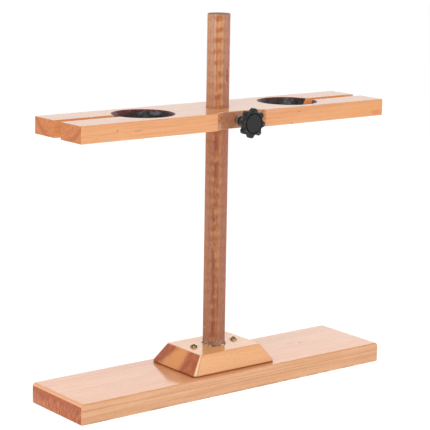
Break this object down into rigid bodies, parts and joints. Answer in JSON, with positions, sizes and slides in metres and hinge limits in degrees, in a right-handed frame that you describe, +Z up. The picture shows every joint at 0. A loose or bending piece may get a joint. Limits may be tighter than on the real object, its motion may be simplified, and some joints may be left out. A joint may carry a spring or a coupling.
{
  "type": "funnel stand",
  "caption": "Wooden laboratory stand: flat base, upright rod and a slotted two-place crossbar that slides on the rod and locks with a star knob.",
  "frame": {"origin": "centre of the base board's underside, on the rod's axis", "axes": "+Z up along the rod, +X along the base and the crossbar, -Y towards the clamp knob's side"},
  "size_m": [0.3, 0.0813, 0.2975],
  "materials": {
    "base_wood": "pale varnished hardwood, glossy",
    "block_wood": "varnished hardwood, glossy",
    "rod_wood": "darker varnished dowel, satin gloss",
    "bar_wood": "varnished hardwood with black lacquered hole walls, glossy",
    "screw_brass": "antique brass plate",
    "zinc_steel": "zinc plated",
    "insert_metal": "dull nickel",
    "stud_steel": "zinc plated thread",
    "knob_plastic": "moulded, satin",
    "cap_plastic": "moulded, fine matte"
  },
  "bodies": {
    "stand": {"base_board": "base_wood", "foot_block": "block_wood", "foot_screws": "screw_brass", "foot_washers": "zinc_steel", "foot_nuts": "zinc_steel"},
    "upright": {"upright_rod": "rod_wood", "rod_screw": "zinc_steel"},
    "crossbar": {"crossbar": "bar_wood", "threaded_insert": "insert_metal"},
    "stud": {"clamp_stud": "stud_steel"},
    "knob": {"knob_body": "knob_plastic", "knob_cap": "cap_plastic"}
  },
  "joints": [
    {"name": "crossbar_swing", "type": "hinge", "parent": "stand", "child": "upright", "pos_m": [0, 0, 0.2173], "axis": [0, 0, 1], "continuous": true},
    {"name": "crossbar_height", "type": "slide", "parent": "upright", "child": "crossbar", "axis": [0, 0, 1], "range_m": [-0.175, 0.073]},
    {"name": "stud_travel", "type": "slide", "parent": "crossbar", "child": "stud", "axis": [0, -1, 0], "range_m": [0, 0.0024]},
    {"name": "knob_turn", "type": "hinge", "parent": "stud", "child": "knob", "pos_m": [0, -0.0463, 0.2166], "axis": [0, -1, 0], "range_deg": [0, 1080]}
  ],
  "couplings": [
    {"joint": "stud_travel", "follows": "knob_turn", "m_per_rad": 0.00012732}
  ]
}
